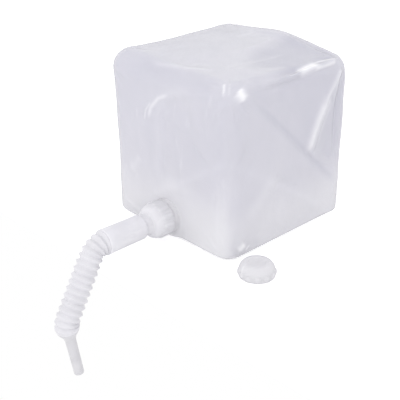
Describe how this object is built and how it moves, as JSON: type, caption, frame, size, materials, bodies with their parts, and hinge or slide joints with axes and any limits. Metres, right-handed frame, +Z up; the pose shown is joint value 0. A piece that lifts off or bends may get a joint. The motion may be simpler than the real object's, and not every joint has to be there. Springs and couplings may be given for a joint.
{
  "type": "collapsible water carrier",
  "caption": "Collapsible cube-shaped film water carrier with a screw-on bendable pouring spout low on one face, and a loose screw cap.",
  "frame": {"origin": "middle of the bag's flat base", "axes": "+Z up, -Y out through the spout's neck, +X to the side where the closing cap lies"},
  "size_m": [0.3037, 0.4416, 0.4],
  "materials": {
    "bag_film": "clear-milky polyethylene film, glossy, softly creased",
    "spout_white": "milky polyethylene, satin",
    "tip_natural": "natural translucent polyethylene, satin",
    "cap_natural": "natural translucent polyethylene, satin",
    "seal_grey": "soft seal, matt"
  },
  "bodies": {
    "bag": {"bag_lower_shell": "bag_film", "bag_folding_walls": "bag_film", "neck_fitting": "spout_white"},
    "bag_top": {"bag_top_panel": "bag_film"},
    "packing": {"neck_gasket": "seal_grey"},
    "collar": {"spout_collar": "spout_white"},
    "sleeve": {"spout_sleeve": "spout_white", "bellows_upper": "spout_white"},
    "spout_middle": {"bellows_middle": "spout_white"},
    "spout_lower": {"bellows_lower": "spout_white"},
    "tip": {"spout_tip": "tip_natural"},
    "loose_cap": {"closing_cap": "cap_natural", "closing_cap_liner": "seal_grey"}
  },
  "joints": [
    {"name": "bag_collapse", "type": "slide", "parent": "bag", "child": "bag_top", "axis": [0, 0, -1], "range_m": [0, 0.155], "deforming": ["bag_folding_walls"]},
    {"name": "collar_backoff", "type": "slide", "parent": "bag", "child": "packing", "axis": [0, -1, 0], "range_m": [0, 0.0127]},
    {"name": "collar_turn", "type": "hinge", "parent": "packing", "child": "collar", "pos_m": [0, -0.145, 0.036], "axis": [0, -1, 0], "range_deg": [0, 1080]},
    {"name": "spout_swivel", "type": "hinge", "parent": "packing", "child": "sleeve", "pos_m": [0, -0.2, 0.036], "axis": [0, -1, 0], "range_deg": [-180, 180]},
    {"name": "spout_raise", "type": "hinge", "parent": "sleeve", "child": "spout_middle", "pos_m": [0, -0.2506, 0.036], "axis": [-1, 0, 0], "range_deg": [-20, 110], "deforming": ["bellows_upper"]},
    {"name": "spout_swing", "type": "hinge", "parent": "spout_middle", "child": "spout_lower", "pos_m": [0, -0.2794, -0.0149], "axis": [0, 0.8704, -0.4924], "range_deg": [-45, 45], "deforming": ["bellows_middle"]},
    {"name": "spout_curl", "type": "hinge", "parent": "spout_lower", "child": "tip", "pos_m": [0, -0.30535, -0.06077], "axis": [-1, 0, 0], "range_deg": [-20, 75], "deforming": ["bellows_lower"]},
    {"name": "cap_lift", "type": "slide", "parent": "bag", "child": "loose_cap", "axis": [0, 0, 1], "range_m": [0, 0.05]}
  ],
  "couplings": [
    {"joint": "collar_backoff", "follows": "collar_turn", "m_per_rad": 0.00066845}
  ]
}
